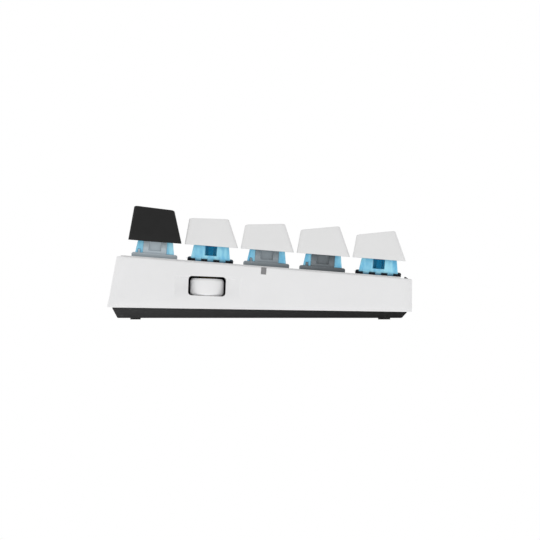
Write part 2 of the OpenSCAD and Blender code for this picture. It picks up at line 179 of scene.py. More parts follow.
def rounded_rectangle(x0, x1, y0, y1, radius, arc=8, side=6):
    """Points round a rectangle with round corners, anticlockwise. The count depends on arc and side alone."""
    corners = [
        (x1 - radius, y0 + radius, -90),
        (x1 - radius, y1 - radius, 0),
        (x0 + radius, y1 - radius, 90),
        (x0 + radius, y0 + radius, 180),
    ]
    arcs = []
    for cx, cy, start in corners:
        angles = [math.radians(start + 90 * k / arc) for k in range(arc + 1)]
        arcs.append([Vector((cx + radius * math.cos(a), cy + radius * math.sin(a))) for a in angles])
    points = []
    for k, curve in enumerate(arcs):
        points += curve
        a, b = curve[-1], arcs[(k + 1) % 4][0]
        points += [a.lerp(b, s / side) for s in range(1, side)]
    return points


def lathe(bm, profile, steps, matrix):
    """Turns a closed outline of (radius, height) about the matrix's Z."""
    rings = []
    for k in range(steps):
        a = 2 * math.pi * k / steps
        rings.append([matrix @ Vector((r * math.cos(a), r * math.sin(a), z)) for r, z in profile])
    loft(bm, rings, closed=True)


def add_box(bm, low, high, matrix):
    made = bmesh.ops.create_cube(bm, size=1)["verts"]
    size = [h - l for l, h in zip(low, high)]
    middle = [(h + l) / 2 for l, h in zip(low, high)]
    place = matrix @ Matrix.Translation(middle) @ Matrix.Diagonal((*size, 1))
    bmesh.ops.transform(bm, matrix=place, verts=made)


def apply_booleans(piece, tools, operation="DIFFERENCE"):
    """Cuts the tools out of the piece, or joins them to it, one by one, and removes them."""
    for tool in tools:
        change = piece.modifiers.new("cut", "BOOLEAN")
        change.operation = operation
        change.solver = "EXACT"
        change.object = tool
        depsgraph = bpy.context.evaluated_depsgraph_get()
        result = bpy.data.meshes.new_from_object(piece.evaluated_get(depsgraph))
        piece.modifiers.clear()
        piece.data = result
        bpy.data.objects.remove(tool)


def soften(piece, width_mm):
    """Rounds a CAD node's sharp edges with modifiers, which leave its own mesh as it is."""
    weld = piece.modifiers.new("weld", "WELD")
    weld.merge_threshold = 0.002 * MM
    bevel = piece.modifiers.new("edges", "BEVEL")
    bevel.width = width_mm * MM
    bevel.segments = 2
    bevel.limit_method = "ANGLE"
    bevel.angle_limit = math.radians(35)
    bevel.use_clamp_overlap = False
    bevel.harden_normals = True
    bevel.miter_outer = "MITER_ARC"


# ---------------------------------------------------------------- materials


class Nodes:
    """A material's node tree, with short calls for the nodes that these materials share."""

    def __init__(self, name):
        self.material = bpy.data.materials.new(name)
        self.material.use_nodes = True
        self.tree = self.material.node_tree
        self.shader = self.tree.nodes["Principled BSDF"]
        self.point = self.tree.nodes.new("ShaderNodeTexCoord").outputs["Object"]
        self.place = self.point

    def link(self, a, b):
        self.tree.links.new(a, b)

    def stretch(self, scale):
        """Draws out the textures after this along an axis whose scale is under 1, and packs them if over 1."""
        node = self.tree.nodes.new("ShaderNodeMapping")
        node.inputs["Scale"].default_value = scale
        self.link(self.place, node.inputs["Vector"])
        self.place = node.outputs["Vector"]

    def noise(self, per_mm, detail=3.0, rough=0.5):
        node = self.tree.nodes.new("ShaderNodeTexNoise")
        node.inputs["Scale"].default_value = per_mm / MM
        node.inputs["Detail"].default_value = detail
        node.inputs["Roughness"].default_value = rough
        self.link(self.place, node.inputs["Vector"])
        return node.outputs["Fac"]

    def span(self, value, low, high, source=(0.3, 0.7)):
        """Spreads a value from its own range, by default a noise's usual one, over low to high."""
        node = self.tree.nodes.new("ShaderNodeMapRange")
        node.inputs["From Min"].default_value = source[0]
        node.inputs["From Max"].default_value = source[1]
        node.inputs["To Min"].default_value = low
        node.inputs["To Max"].default_value = high
        self.link(value, node.inputs["Value"])
        return node.outputs["Result"]

    def math(self, operation, a, b):
        node = self.tree.nodes.new("ShaderNodeMath")
        node.operation = operation
        for k, value in enumerate((a, b)):
            if isinstance(value, (int, float)):
                node.inputs[k].default_value = value
            else:
                self.link(value, node.inputs[k])
        return node.outputs[0]

    def along_deck(self, axis, start=0.0):
        """Distance from start along one axis of the deck."""
        node = self.tree.nodes.new("ShaderNodeVectorMath")
        node.operation = "DOT_PRODUCT"
        direction = DECK.to_3x3().col[axis]
        node.inputs[1].default_value = direction
        self.link(self.point, node.inputs[0])
        return self.math("SUBTRACT", node.outputs["Value"], start + direction.dot(DECK.translation))

    def mix(self, factor, a, b):
        node = self.tree.nodes.new("ShaderNodeMix")
        node.data_type = "RGBA"
        self.link(factor, node.inputs["Factor"])
        for name, value in (("A", a), ("B", b)):
            socket = [s for s in node.inputs if s.name == name and s.type == "RGBA"][0]
            if isinstance(value, tuple):
                socket.default_value = (*value, 1)
            else:
                self.link(value, socket)
        return [s for s in node.outputs if s.type == "RGBA"][0]

    def scale(self, colour, factor):
        node = self.tree.nodes.new("ShaderNodeVectorMath")
        node.operation = "SCALE"
        self.link(colour, node.inputs[0])
        self.link(factor, node.inputs["Scale"])
        return node.outputs[0]

    def bump(self, height, strength, depth_mm):
        node = self.tree.nodes.new("ShaderNodeBump")
        node.inputs["Strength"].default_value = strength
        node.inputs["Distance"].default_value = depth_mm * MM
        self.link(height, node.inputs["Height"])
        self.link(node.outputs["Normal"], self.shader.inputs["Normal"])

    def edge_wear(self, amount):
        """A mask along convex edges, broken up by noise."""
        geometry = self.tree.nodes.new("ShaderNodeNewGeometry")
        edges = self.span(geometry.outputs["Pointiness"], 0.0, 1.0, (0.52, 0.60))
        return self.math("MULTIPLY", self.math("MULTIPLY", edges, self.noise(0.8)), amount)


PLASTIC_IOR = 1.49


def shade(colour, factor):
    return tuple(min(1.0, c * factor) for c in colour)


def moulded(name, colour, rough=0.5, grain_mm=0.12, grain=0.25, drift=0.03, wear=0.3, gloss=0.5, painted_shading=()):
    """Injection-moulded plastic: a fine spark texture, faint flow marks and edges polished by use.

    Each entry of painted_shading paints light or shade on it, lighter or darker along an axis of the deck:
    (axis, (place in mm, factor) twice).
    """
    n = Nodes(name)
    n.shader.inputs["Specular IOR Level"].default_value = gloss
    flow = n.span(n.noise(0.05, 2.0), 0.0, 1.0)
    tinted = n.mix(flow, shade(colour, 1 - drift), shade(colour, 1 + drift / 2))
    speck = n.span(n.noise(1 / grain_mm, 2.0), 0.0, 1.0)
    fine = n.mix(n.math("MULTIPLY", speck, 0.5), tinted, shade(colour, 1 - drift))
    polished = n.edge_wear(wear)
    tone = n.mix(polished, fine, shade(colour, 1.12))
    # painted light and shade, scaled into the colour along the deck
    for axis, (low, low_factor), (high, high_factor) in painted_shading:
        tone = n.scale(tone, n.span(n.along_deck(axis), low_factor, high_factor, (low * MM, high * MM)))
    n.link(tone, n.shader.inputs["Base Color"])
    uneven = n.span(n.noise(0.3, 4.0), rough - 0.05, rough + 0.06)
    n.link(n.math("SUBTRACT", uneven, n.math("MULTIPLY", polished, 0.15)), n.shader.inputs["Roughness"])
    n.shader.inputs["IOR"].default_value = PLASTIC_IOR
    n.bump(n.noise(1 / grain_mm, 3.0, 0.6), grain, 0.01)
    return n.material


def clear_cover(name, deep, light, tint):
    """Clear tinted plastic, milky at its sides, which carry a painted glow and painted shade at their foot,
    and seen through in front of each stem.

    deep and light are the tones of the sides, light is also the colour of their painted glow, and tint is what
    the clear middle lets through.
    """
    n = Nodes(name)
    n.stretch((1, 1, 0.3))
    streaks = n.mix(n.span(n.noise(0.45, 2.0), 0.0, 1.0, (0.34, 0.66)), deep, light)
    # painted shade: the sides are painted darker below about 1.3 mm above the plate, where they meet the
    # housing, and their painted glow fades out there
    foot = n.span(n.along_deck(2), 0.0, 1.0, (0.3 * MM, 1.3 * MM))
    n.link(n.mix(foot, shade(deep, 0.35), streaks), n.shader.inputs["Base Color"])
    n.link(n.span(n.noise(1.5, 3.0), 0.10, 0.2), n.shader.inputs["Roughness"])
    # painted glow: the sides give off light of their own, though there is no lamp in them
    n.shader.inputs["Emission Color"].default_value = (*light, 1)
    n.link(n.math("MULTIPLY", foot, COVER_PAINTED_GLOW), n.shader.inputs["Emission Strength"])
    n.bump(n.noise(0.8, 2.0), 0.15, 0.02)
    clear = n.tree.nodes.new("ShaderNodeBsdfTransparent")
    n.link(n.mix(n.noise(0.3), tint, shade(tint, 0.94)), clear.inputs["Color"])
    mix = n.tree.nodes.new("ShaderNodeMixShader")
    off_centre = n.math("PINGPONG", n.along_deck(1, KEY_ORIGIN.y), KEY_PITCH / 2)
    middle = n.span(off_centre, 1.0, 0.0, (1.85 * MM, 2.15 * MM))
    above = n.span(n.along_deck(2), 0.0, 1.0, (2.0 * MM, 2.2 * MM))
    n.link(n.span(n.math("MULTIPLY", middle, above), *COVER_CLEAR, (0.0, 1.0)), mix.inputs[0])
    n.link(n.shader.outputs[0], mix.inputs[1])
    n.link(clear.outputs[0], mix.inputs[2])
    n.link(mix.outputs[0], n.tree.nodes["Material Output"].inputs["Surface"])
    return n.material


def painted_sheet(name, colour):
    """Satin powder coat on sheet metal: a soft orange peel."""
    n = Nodes(name)
    flow = n.span(n.noise(0.06, 2.0), 0.0, 1.0)
    n.link(n.mix(flow, shade(colour, 0.98), shade(colour, 1.01)), n.shader.inputs["Base Color"])
    n.link(n.span(n.noise(0.9, 3.0), 0.34, 0.46), n.shader.inputs["Roughness"])
    n.shader.inputs["Coat Weight"].default_value = 0.15
    n.bump(n.noise(2.2, 2.0), 0.2, 0.012)
    return n.material


def metal(name, colour, rough, scale=(1, 1, 1)):
    """Bare metal. A scale over 1 packs the grain closer on that axis, as lines across it."""
    n = Nodes(name)
    n.stretch(scale)
    streak = n.noise(4.0, 4.0, 0.7)
    tone = n.mix(n.span(streak, 0, 1), shade(colour, 0.85), shade(colour, 1.05))
    n.link(tone, n.shader.inputs["Base Color"])
    n.link(n.span(streak, rough - 0.06, rough + 0.1), n.shader.inputs["Roughness"])
    n.shader.inputs["Metallic"].default_value = 1.0
    n.bump(streak, 0.15, 0.006)
    return n.material


def rubber(name, colour):
    n = Nodes(name)
    dust = n.span(n.noise(0.7, 4.0), 0.0, 0.35)
    n.link(n.mix(dust, colour, (0.12, 0.12, 0.12)), n.shader.inputs["Base Color"])
    n.link(n.span(n.noise(1.2, 3.0), 0.75, 0.92), n.shader.inputs["Roughness"])
    n.bump(n.noise(3.0, 3.0), 0.4, 0.02)
    return n.material


def solder_mask(name, colour):
    """A coated board: darker mask between raised copper runs."""
    n = Nodes(name)
    runs = n.tree.nodes.new("ShaderNodeTexWave")
    runs.inputs["Scale"].default_value = 0.35 / MM
    runs.inputs["Distortion"].default_value = 6.0
    runs.inputs["Detail"].default_value = 1.0
    n.link(n.place, runs.inputs["Vector"])
    mask = n.span(runs.outputs["Fac"], 0.0, 1.0, (0.7, 0.8))
    n.link(n.mix(mask, colour, shade(colour, 2.2)), n.shader.inputs["Base Color"])
    n.link(n.span(n.noise(1.0), 0.22, 0.34), n.shader.inputs["Roughness"])
    n.bump(mask, 0.3, 0.03)
    return n.material


WHITE = (0.80, 0.80, 0.805)
# The covers: strength of the painted glow on their sides, and how clear the sides and the middle are
COVER_PAINTED_GLOW = 0.12
COVER_CLEAR = (0.08, 0.97)
KEY_ORIGIN = local_centre("stem_5")
KEY_PITCH = (local_centre("stem_8") - KEY_ORIGIN).y
MATERIALS = {
    "white_case": moulded("white_case", WHITE, rough=0.48, grain_mm=0.10, grain=0.18),
    "keycap_white": moulded("keycap_white", (0.79, 0.79, 0.79), rough=0.52, grain_mm=0.14, grain=0.3),
    "keycap_black": moulded(
        "keycap_black", (0.008, 0.008, 0.008), rough=0.55, grain_mm=0.14, grain=0.35, gloss=0.3
    ),
    "wheel_white": moulded("wheel_white", (0.82, 0.82, 0.825), rough=0.36, grain_mm=0.2, grain=0.08),
    # painted light and shade: the base is painted lighter towards the back, where more light falls, and darker
    # towards the front
    "black_base": moulded(
        "black_base", (0.014, 0.014, 0.0145), rough=0.5, grain_mm=0.16, grain=0.4, gloss=0.28,
        painted_shading=[(1, (-50, 0.1), (50, 1.9))],
    ),
    "switch_black": moulded(
        "switch_black", (0.003, 0.004, 0.009), rough=0.42, grain_mm=0.2, grain=0.15, gloss=0.2
    ),
    # painted light and shade: the brackets are painted lighter towards the back rows, where more light reaches
    # them, darker towards the front rows, and darker low down near the plate, where shade falls
    "bracket_grey": moulded(
        "bracket_grey", (0.30, 0.345, 0.375), rough=0.45, grain_mm=0.2, grain=0.15,
        painted_shading=[(1, (-30, 0.34), (36, 1.75)), (2, (0.5, 0.66), (2.0, 1.0))],
    ),
    "stem_blue": moulded(
        "stem_blue", (0.001, 0.31, 0.50), rough=0.4, grain_mm=0.2, grain=0.1, gloss=0.15
    ),
    "trim_dark": moulded("trim_dark", (0.02, 0.02, 0.022), rough=0.5),
    "window_grey": moulded("window_grey", (0.21, 0.21, 0.215), rough=0.25, grain=0.05),
    "encoder_black": moulded("encoder_black", (0.03, 0.03, 0.03), rough=0.5),
    "chip_black": moulded("chip_black", (0.02, 0.02, 0.02), rough=0.6),
    "lamp_clear": moulded("lamp_clear", (0.75, 0.72, 0.5), rough=0.2, grain=0.05),
    "ribbon_amber": moulded("ribbon_amber", (0.55, 0.33, 0.08), rough=0.3, grain=0.05),
    "cover_blue": clear_cover("cover_blue", (0.12, 0.50, 0.78), (0.42, 0.85, 1.0), (0.68, 0.95, 1.0)),
    "white_plate": painted_sheet("white_plate", (0.80, 0.80, 0.80)),
    "board_green": solder_mask("board_green", (0.01, 0.07, 0.035)),
    "foot_rubber": rubber("foot_rubber", (0.02, 0.02, 0.02)),
    "spring_steel": metal("spring_steel", (0.72, 0.72, 0.73), 0.22),
    "axle_steel": metal("axle_steel", (0.62, 0.62, 0.63), 0.3, scale=(1, 1, 6)),
    "port_steel": metal("port_steel", (0.62, 0.62, 0.63), 0.28, scale=(6, 1, 6)),
    "screw_steel": metal("screw_steel", (0.45, 0.45, 0.46), 0.32),
    "legend_grey": moulded("legend_grey", (0.10, 0.10, 0.105), rough=0.55, grain=0.1, wear=0.0),
    "legend_white": moulded("legend_white", (0.72, 0.72, 0.72), rough=0.5, grain=0.1, wear=0.0),
}


# ---------------------------------------------------------------- keycaps


# Depth of the finger dish
DISH = 0.75 * MM


class Cap:
    """The form of one keycap, measured from its CAD node: x across, v to the back, h over its open base."""

    def __init__(self, key):
        self.key = key
        low, high = local_box("keycap_" + key)
        self.half = (high.x - low.x) / 2
        self.centre = Vector(((low.x + high.x) / 2, (low.y + high.y) / 2, low.z))
        self.place = DECK @ Matrix.Translation(self.centre)
        points = [p - self.centre for p in local_points("keycap_" + key)]
        # corners of the flat top, which is tilted less than one in three
        back = max(points, key=lambda p: p.y + 3 * p.z)
        front = max(points, key=lambda p: -p.y + 3 * p.z)
        self.back, self.front = (back.y, back.z), (front.y, front.z)
        self.middle_v = (self.front[0] + self.back[0]) / 2
        self.draft = (self.half - abs(back.x)) / back.z
        stem_top = local_box("stem_" + key)[1].z
        self.cross_top = stem_top - self.centre.z

    def plane(self, v):
        """Height of the top plane at v."""
        (vb, hb), (vf, hf) = self.back, self.front
        return hf + (hb - hf) * (v - vf) / (vb - vf)

    def top_half(self, v):
        return self.half - self.draft * self.plane(v)

    def surface(self, x, v):
        """Height of the dished top."""
        return self.plane(v) - DISH * max(0.0, 1 - (x / self.top_half(v)) ** 2)

    def base_outline(self, inset, radius):
        half = self.half - inset
        return [Vector((p.x, p.y, 0)) for p in rounded_rectangle(-half, half, -half, half, radius)]

    def top_outline(self, inset, radius):
        """The top's outline on its plane. Its sides draw in with the cap's height."""
        v0, v1 = self.front[0] + inset, self.back[0] - inset
        half = self.top_half((v0 + v1) / 2) - inset
        points = []
        for p in rounded_rectangle(-half, half, v0, v1, radius):
            share = (self.top_half(p.y) - inset) / half
            points.append(Vector((p.x * share, p.y, self.plane(p.y))))
        return points


def cap_mesh(cap, bm):
    wall, roof, edge = 1.2 * MM, 1.5 * MM, 0.3 * MM
    base = cap.base_outline(0, 0.9 * MM)
    top = cap.top_outline(0, 1.1 * MM)
    for p in top:
        p.z = cap.surface(p.x * 0.999, p.y)
    rings = []
    # outer skin, from a small round at the open edge up to the top's round
    lip = 0.18 * MM
    rings.append([b.lerp(Vector((0, 0, 0)), lip / cap.half) for b in base])
    rings.append([b.lerp(t, 0.3 * lip / t.z) + Vector((-b.x, -b.y, 0)) * (0.3 * lip / cap.half)
                  for b, t in zip(base, top)])
    rings.append([b.lerp(t, lip / t.z) for b, t in zip(base, top)])
    for s in (0.25, 0.5, 0.75):
        rings.append([b.lerp(t, s) for b, t in zip(base, top)])
    centre = Vector((0, cap.middle_v, 0))
    for k in range(6):
        turn = math.radians(90 * k / 5)
        ring = []
        for b, t in zip(base, top):
            down = (b - t).normalized()
            inward = Vector((centre.x - t.x, centre.y - t.y, 0)).normalized()
            p = t + down * edge * (1 - math.sin(turn)) + inward * edge * (1 - math.cos(turn))
            if k == 5:
                p.z = cap.surface(p.x, p.y)
            ring.append(p)
        rings.append(ring)
    for share in (0.84, 0.7, 0.55, 0.4, 0.25, 0.12):
        ring = []
        for t in top:
            p = centre + (Vector((t.x, t.y, 0)) - centre) * share
            ring.append(Vector((p.x, p.y, cap.surface(p.x, p.y))))
        rings.append(ring)
    skin = [[cap.place @ p for p in ring] for ring in rings]
    made = loft(bm, skin)
    close_ring(bm, made[-1], cap.place @ Vector((0, cap.middle_v, cap.surface(0, cap.middle_v))))
    # inner skin, from the open edge up to the roof's underside, at an even distance from the outer skin
    under = roof + DISH
    inner_base = cap.base_outline(wall, 0.5 * MM)
    inner_top = cap.top_outline(wall, 0.6 * MM)
    inner = []
    for s, draw_in in ((0, 0), (0.5, 0), (0.95, 0), (1.0, 0.05)):
        ring = [b.lerp(t, s * (1 - under / t.z)) for b, t in zip(inner_base, inner_top)]
        inner.append([cap.place @ p.lerp(Vector((0, cap.middle_v, p.z)), draw_in) for p in ring])
    inside = loft(bm, inner)
    close_ring(bm, inside[-1], cap.place @ Vector((0, cap.middle_v, cap.plane(cap.middle_v) - under)))
    bridge(bm, made[0], inside[0])


def cross_radius(angle, arm, thickness):
    """Distance from the centre to the outline of a plus sign, in a direction."""
    c, s = abs(math.cos(angle)), abs(math.sin(angle))
    reach = []
    for long_side, short_side in ((arm, thickness), (thickness, arm)):
        reach.append(min(long_side / max(c, 1e-6), short_side / max(s, 1e-6)))
    return max(reach)


def cap_post(cap, bm):
    """The socket under the cap that grips the stem's cross."""
    steps, radius = 64, 2.75 * MM
    arm, thickness = 2.05 * MM, 0.65 * MM
    grip, clearance, under_roof = 3.5 * MM, 0.2 * MM, 1.8 * MM
    low = cap.cross_top - grip
    socket_top = cap.cross_top + clearance
    high = cap.plane(0) - under_roof
    angles = [2 * math.pi * (k + 0.5) / steps for k in range(steps)]
    shift = (local_centre("stem_" + cap.key) - cap.centre).y
    place = cap.place @ Matrix.Translation((0, shift, 0))

    def round_ring(r, h):
        return [place @ Vector((r * math.cos(a), r * math.sin(a), h)) for a in angles]

    def cross_ring(h):
        radii = [cross_radius(a, arm, thickness) for a in angles]
        return [place @ Vector((r * math.cos(a), r * math.sin(a), h)) for r, a in zip(radii, angles)]

    bevel = 0.12 * MM
    rings = [
        cross_ring(socket_top),
        cross_ring(low),
        round_ring(radius - bevel, low),
        round_ring(radius, low + bevel),
        round_ring(radius, high),
    ]
    made = loft(bm, rings)
    close_ring(bm, made[0], place @ Vector((0, 0, socket_top)))
    close_ring(bm, made[-1], place @ Vector((0, 0, high)))


def arrow_outline(kind):
    """Outline of a sign in units of its height: an arrow to the left, with a riser for the enter sign."""
    head = [(-0.75, 0.0), (-0.35, 0.32), (-0.35, 0.07)]
    tail = [(-0.35, -0.07), (-0.35, -0.32)]
    if kind == "arrow_left":
        return head + [(0.65, 0.07), (0.65, -0.07)] + tail
    return head + [(0.51, 0.07), (0.51, 0.45), (0.65, 0.45), (0.65, -0.07)] + tail


def glyph_mesh(text, size):
    """A flat mesh of a legend, centred on the origin."""
    bm = bmesh.new()
    if text.startswith("arrow"):
        outline = [bm.verts.new((x * size * 0.9, y * size * 0.9, 0)) for x, y in arrow_outline(text)]
        bmesh.ops.triangulate(bm, faces=[bm.faces.new(outline)])
        return bm
    curve = bpy.data.curves.new("glyph", "FONT")
    curve.body = text
    curve.size = size
    curve.resolution_u = 6
    curve.offset = 0.015 * size
    holder = bpy.data.objects.new("glyph", curve)
    bpy.context.scene.collection.objects.link(holder)
    depsgraph = bpy.context.evaluated_depsgraph_get()
    mesh = bpy.data.meshes.new_from_object(holder.evaluated_get(depsgraph))
    bm.from_mesh(mesh)
    bpy.data.objects.remove(holder)
    bmesh.ops.remove_doubles(bm, verts=bm.verts, dist=1e-7)
    xs, ys = [v.co.x for v in bm.verts], [v.co.y for v in bm.verts]
    shift = Vector((-(min(xs) + max(xs)) / 2, -(min(ys) + max(ys)) / 2, 0))
    bmesh.ops.translate(bm, vec=shift, verts=bm.verts)
    return bm


def legend(cap, text, material):
    """The printed sign, a thin raised skin that follows the dish."""
    size = {"Num": 3.4}.get(text, 5.4) * MM
    bm = glyph_mesh(text, size)
    slices, width = 16, 12 * MM
    for k in range(1, slices):
        x = (k / slices - 0.5) * width
        parts = bm.verts[:] + bm.edges[:] + bm.faces[:]
        bmesh.ops.bisect_plane(bm, geom=parts, plane_co=(x, 0, 0), plane_no=(1, 0, 0), dist=1e-8)
    under = bmesh.ops.extrude_face_region(bm, geom=bm.faces[:])["geom"]
    sunk = {v for v in under if isinstance(v, bmesh.types.BMVert)}
    proud, sink = 0.02 * MM, 0.12 * MM
    for v in bm.verts:
        x, y = v.co.x, v.co.y + cap.middle_v
        lift = -sink if v in sunk else proud
        v.co = cap.place @ Vector((x, y, cap.surface(x, y) + lift))
    return new_piece("legend_" + cap.key, bm, material, 30)


def make_keycaps():
    for row, names in enumerate(KEY_ROWS):
        colour = "keycap_black" if row == 0 else "keycap_white"
        ink = MATERIALS["legend_white" if row == 0 else "legend_grey"]
        for key, text in names:
            cap = Cap(key)
            bm = bmesh.new()
            cap_mesh(cap, bm)
            cap_post(cap, bm)
            piece = new_piece("cap_" + key, bm, MATERIALS[colour], 45)
            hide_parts("keycap_" + key)
            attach(piece, "key_" + key)
            sign = legend(cap, text, ink)
            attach(sign, "key_" + key)


# ---------------------------------------------------------------- case


# Points in each corner and along each side of the case's rings
CASE_ARC, CASE_SIDE = 10, 16
CASE_CORNER = 3.0 * MM
CASE_ROOF = 2.2 * MM


class CaseForm:
    """The upper case's outline at its lower edge and at its rim, measured from the CAD node."""

    def __init__(self):
        low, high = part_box("top_case")
        self.half = (high.x - low.x) / 2
        points = [v.co for v in NODES["top_case"].data.vertices]
        self.rim = local_box("top_case")[1].z
        on_rim = [DECK_INVERSE @ p for p in points]
        on_rim = [p for p in on_rim if p.z > self.rim - 0.01 * MM]
        self.rim_front, self.rim_back = min(p.y for p in on_rim), max(p.y for p in on_rim)
        front = [p for p in points if p.y < low.y + 0.05 * MM]
        back = [p for p in points if p.y > high.y - 0.05 * MM]
        self.foot_front = Vector((0, low.y, min(p.z for p in front)))
        self.foot_back = Vector((0, high.y, min(p.z for p in back)))

    def foot_height(self, y):
        a, b = self.foot_front, self.foot_back
        return a.z + (b.z - a.z) * (y - a.y) / (b.y - a.y)

    def foot_ring(self, inset, lift):
        """A ring round the lower edge, moved in by inset and up by lift."""
        r = max(CASE_CORNER - inset, 0.3 * MM)
        y0, y1 = self.foot_front.y + inset, self.foot_back.y - inset
        shape = rounded_rectangle(-self.half + inset, self.half - inset, y0, y1, r, CASE_ARC, CASE_SIDE)
        return [Vector((p.x, p.y, self.foot_height(p.y) + lift)) for p in shape]

    def rim_ring(self, inset, drop):
        """A ring round the rim in the deck's frame, moved in by inset and down by drop."""
        r = max(CASE_CORNER - inset, 0.3 * MM)
        y0, y1 = self.rim_front + inset, self.rim_back - inset
        shape = rounded_rectangle(-self.half + inset, self.half - inset, y0, y1, r, CASE_ARC, CASE_SIDE)
        return [DECK @ Vector((p.x, p.y, self.rim - drop)) for p in shape]


def deck_ring(x_half, y0, y1, z, radius):
    shape = rounded_rectangle(-x_half, x_half, y0, y1, radius, CASE_ARC, CASE_SIDE)
    return [DECK @ Vector((p.x, p.y, z)) for p in shape]


def case_mesh(form):
    """The shell as one closed skin: outside, rim, plate recess, ledge, and down the inside."""
    bm = bmesh.new()
    wall, low_round, top_round = 2.0 * MM, 0.35 * MM, 0.55 * MM
    plate_low, plate_high = local_box("switch_plate")
    gap = 0.15 * MM
    # the recess takes the plate and the ledge carries it: half width, front, back
    recess = (plate_high.x + gap, plate_low.y - gap, plate_high.y + gap)
    ledge = (37.3 * MM, recess[1] + 0.02 * MM, plate_high.y - 2.05 * MM)
    foot = form.foot_ring(0, 0)
    rim = form.rim_ring(0, 0)
    rings = [form.foot_ring(wall, 0), form.foot_ring(low_round, 0)]
    for k in range(4):
        turn = math.radians(90 * k / 3)
        inset = low_round * (1 - math.sin(turn))
        lift = low_round * (1 - math.cos(turn))
        rings.append(form.foot_ring(inset, lift))
    for share in (0.2, 0.4, 0.6, 0.8):
        rings.append([a.lerp(b, share) for a, b in zip(foot, rim)])
    for k in range(6):
        turn = math.radians(90 * k / 5)
        ring = []
        inner = form.rim_ring(top_round, 0)
        for a, b, c in zip(foot, rim, inner):
            down = (a - b).normalized()
            ring.append(b + down * top_round * (1 - math.sin(turn)) + (c - b) * (1 - math.cos(turn)))
        rings.append(ring)
    crisp, corner = 0.12 * MM, 0.8 * MM
    rings.append(deck_ring(recess[0] + crisp, recess[1] - crisp, recess[2] + crisp, form.rim, 0.9 * MM))
    rings.append(deck_ring(*recess, form.rim - crisp, corner))
    rings.append(deck_ring(*recess, plate_low.z, corner))
    rings.append(deck_ring(*ledge, plate_low.z, corner))
    rings.append(deck_ring(*ledge, form.rim - CASE_ROOF, corner))
    rings.append(form.rim_ring(wall, CASE_ROOF))
    loft(bm, rings, closed=True)
    return bm


# How far the wheel stands out, and how far its opening and scoop lie above its middle
WHEEL_PROUD = 0.6 * MM
OPENING_RISE = 0.3 * MM


def wheel_face():
    """The case's side in the wheel's frame: the wheel stands out of it."""
    return local_box("thumb_wheel", WHEEL_INVERSE)[0].x + WHEEL_PROUD


def scoop_cutter():
    """The thumb scoop: a shallow trough along Y with a steep floor ledge and a narrow top ledge."""
    face = wheel_face()
    length, depth, half = 21.9 * MM, 1.7 * MM, 3.1 * MM
    floor_slope, roof_slope = 2.4, 0.7
    outside = face - 1 * MM
    radius = ((length / 2) ** 2 + depth**2) / (2 * depth)
    axis_x = face + depth - radius
    steps = 48
    bm = bmesh.new()
    rings = []
    reach = length / 2 + 0.35 * MM
    for k in range(steps + 1):
        y = -reach + 2 * reach * k / steps
        deep = math.sqrt(radius**2 - y**2) + axis_x - face
        x = face + deep
        inside = max(deep, 0.0)
        edge = min(x, face)
        rings.append(
            [
                Vector((outside, y, -half)),
                Vector((edge, y, -half)),
                Vector((x, y, -half + floor_slope * inside)),
                Vector((x, y, half - roof_slope * inside)),
                Vector((edge, y, half)),
                Vector((outside, y, half)),
            ]
        )
    raised = WHEEL @ Matrix.Translation((0, 0, OPENING_RISE))
    made = loft(bm, [[raised @ p for p in ring] for ring in rings])
    close_ends(bm, made)
    return new_solid("scoop", bm)


def opening_cutter():
    """The hole for the wheel, through the wall and the pad behind it."""
    face = wheel_face()
    half_y, half_z = 6.35 * MM, 3.3 * MM
    shape = rounded_rectangle(-half_y, half_y, OPENING_RISE - half_z, OPENING_RISE + half_z, 1.2 * MM)
    bm = bmesh.new()
    rings = [[WHEEL @ Vector((x, p.x, p.y)) for p in shape] for x in (face - 1.5 * MM, face + 6 * MM)]
    made = loft(bm, rings)
    close_ends(bm, made)
    return new_solid("opening", bm)


def box_cutter(name, low, high, matrix):
    bm = bmesh.new()
    add_box(bm, low, high, matrix)
    return new_solid(name, bm)


def port_cutter():
    """The hole for the cable socket, through the back wall."""
    low, high = local_box("usb_port")
    grow = 0.3 * MM
    y0, y1 = high.y - 4 * MM, high.y + 6 * MM
    radius = (high.z - low.z) / 2 + grow - 0.02 * MM
    shape = rounded_rectangle(low.x - grow, high.x + grow, low.z - grow, high.z + grow, radius)
    bm = bmesh.new()
    made = loft(bm, [[DECK @ Vector((p.x, y, p.y)) for p in shape] for y in (y0, y1)])
    close_ends(bm, made)
    return new_solid("port", bm)


def make_case():
    """The upper case. A pad thickens its wall round the scoop, and a notch in the pad clears the encoder."""
    form = CaseForm()
    piece = new_piece("upper_case", case_mesh(form), MATERIALS["white_case"], 35)
    face = wheel_face()
    encoder_low, encoder_high = local_box("wheel_encoder", WHEEL_INVERSE)
    pad_low = Vector((1.0, -12.5, -5)) * MM + Vector((face, 0, 0))
    pad_high = Vector((4.1, 12.5, 4.6)) * MM + Vector((face, 0, 0))
    pad = box_cutter("pad", pad_low, pad_high, WHEEL)
    room = Vector((0.4, 0.4, 0.1)) * MM
    notch_low = Vector((face + 2.0 * MM, encoder_low.y - room.y, -8 * MM))
    apply_booleans(piece, [pad], "UNION")
    window_low, window_high = local_box("status_window")
    trim_low, trim_high = local_box("front_trim")
    gap = Vector((0.02, 0.02, 0)) * MM
    past_side = Vector((1, 0.02, 0.02)) * MM
    seat = Vector((0.04, 0.04, 0.04)) * MM
    above = Vector((0, 0, 2)) * MM
    tools = [
        scoop_cutter(),
        opening_cutter(),
        box_cutter("notch", notch_low, encoder_high + room, WHEEL),
        port_cutter(),
        box_cutter("window", window_low - past_side, window_high + gap + above, DECK),
        box_cutter("groove", trim_low - seat, trim_high + gap * 2.5 + above, DECK),
    ]
    apply_booleans(piece, tools)
    smooth(piece, 30)
    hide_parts("top_case")
    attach(piece, "case")


